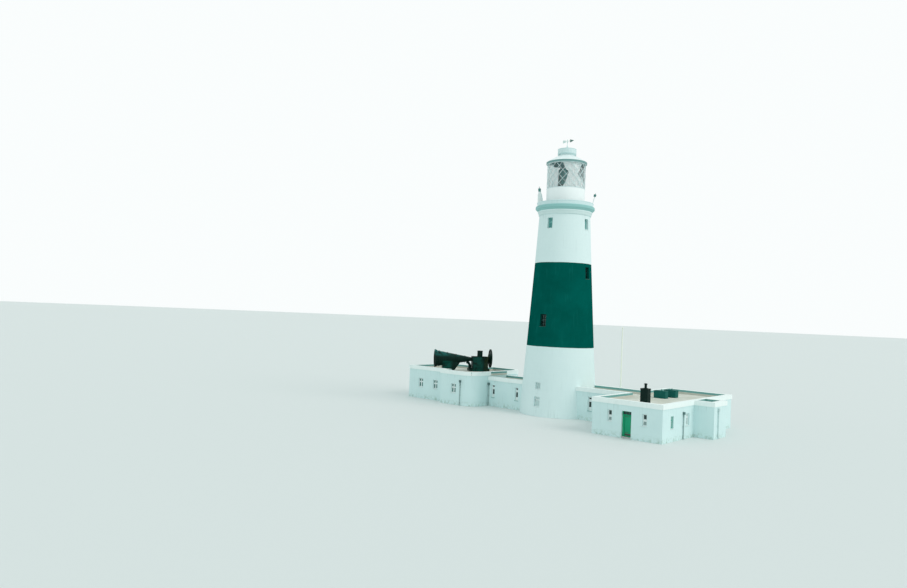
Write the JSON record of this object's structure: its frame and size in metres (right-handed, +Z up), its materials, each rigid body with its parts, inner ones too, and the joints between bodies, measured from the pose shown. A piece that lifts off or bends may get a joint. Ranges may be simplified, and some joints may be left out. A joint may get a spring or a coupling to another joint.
{
  "type": "lighthouse",
  "caption": "Banded round lighthouse tower with gallery, lattice lantern and weather vane, set between low flat-roofed wings with a fog signal and a front door.",
  "frame": {"origin": "on the tower's axis, on the underside of its ground floor", "axes": "+X along the wings towards the dwelling, +Z up, -Y the front with the door"},
  "size_m": [39.85, 16.54, 31.95],
  "materials": {
    "tower_render": "painted render, a dark green band at mid height",
    "gallery_render": "painted render",
    "gallery_grey": "grey-green paint",
    "deck_concrete": "bare concrete",
    "wing_render": "painted render",
    "coping_render": "painted render",
    "roof_felt": "gritted felt",
    "lantern_iron": "gloss paint",
    "lantern_cap": "gloss paint",
    "lantern_pane": "clear",
    "curtain_cloth": "cotton cloth",
    "lens_pane": "clear",
    "pedestal_iron": "gloss paint",
    "vane_iron": "gloss paint",
    "beacon_paint": "gloss paint",
    "frame_paint": "gloss paint",
    "window_pane": "clear",
    "door_paint": "gloss paint",
    "signal_iron": "satin paint",
    "tank_iron": "satin paint",
    "pipe_paint": "gloss paint",
    "staff_paint": "gloss paint"
  },
  "bodies": {
    "lighthouse": {"annex_walls": "wing_render", "door_fanlight": "window_pane", "door_frame": "frame_paint", "door_step": "deck_concrete", "dwelling_front_wall_left": "wing_render", "dwelling_front_wall_right": "wing_render", "dwelling_rear_wall": "wing_render", "dwelling_side_walls": "wing_render", "dwelling_wall_over_door": "wing_render", "flagstaff": "staff_paint", "gallery_beacon": "beacon_paint", "gallery_cornice": "gallery_grey", "gallery_floor": "deck_concrete", "gallery_lamp": "beacon_paint", "gallery_parapet": "gallery_render", "high_copings": "coping_render", "horn_bend": "signal_iron", "horn_cradle": "signal_iron", "housing_cap": "signal_iron", "lantern_astragals": "lantern_iron", "lantern_curtains": "curtain_cloth", "lantern_glass": "lantern_pane", "lantern_gutter": "lantern_iron", "lantern_roof": "lantern_cap", "lens": "lens_pane", "lens_pedestal": "pedestal_iron", "link_walls": "wing_render", "long_horn": "signal_iron", "low_copings": "coping_render", "murette": "gallery_render", "rainwater_pipes": "pipe_paint", "roof_stack": "tank_iron", "roof_tanks": "tank_iron", "short_horn": "signal_iron", "signal_corner_walls": "wing_render", "signal_front_wall": "wing_render", "signal_housing": "signal_iron", "signal_rear_wall": "wing_render", "signal_side_walls": "wing_render", "signal_wall_over_link": "wing_render", "tower_floors": "deck_concrete", "tower_front_wall": "tower_render", "tower_left_wall": "tower_render", "tower_rear_wall": "tower_render", "tower_right_wall": "tower_render", "vane_spindle": "vane_iron", "ventilator": "lantern_cap", "west_end_wall": "wing_render", "west_side_walls": "wing_render", "window_frames": "frame_paint", "window_panes": "window_pane", "wing_floors": "deck_concrete", "wing_roofs": "roof_felt"},
    "door": {"front_door": "door_paint"},
    "vane": {"weather_vane": "vane_iron"}
  },
  "joints": [
    {"name": "front_door_hinge", "type": "hinge", "parent": "lighthouse", "child": "door", "pos_m": [13.204, -8.56, 1.2], "axis": [0, 0, 1], "range_deg": [0, 90]},
    {"name": "vane_pivot", "type": "hinge", "parent": "lighthouse", "child": "vane", "pos_m": [0, 0, 31.73], "axis": [0, 0, 1], "continuous": true}
  ]
}
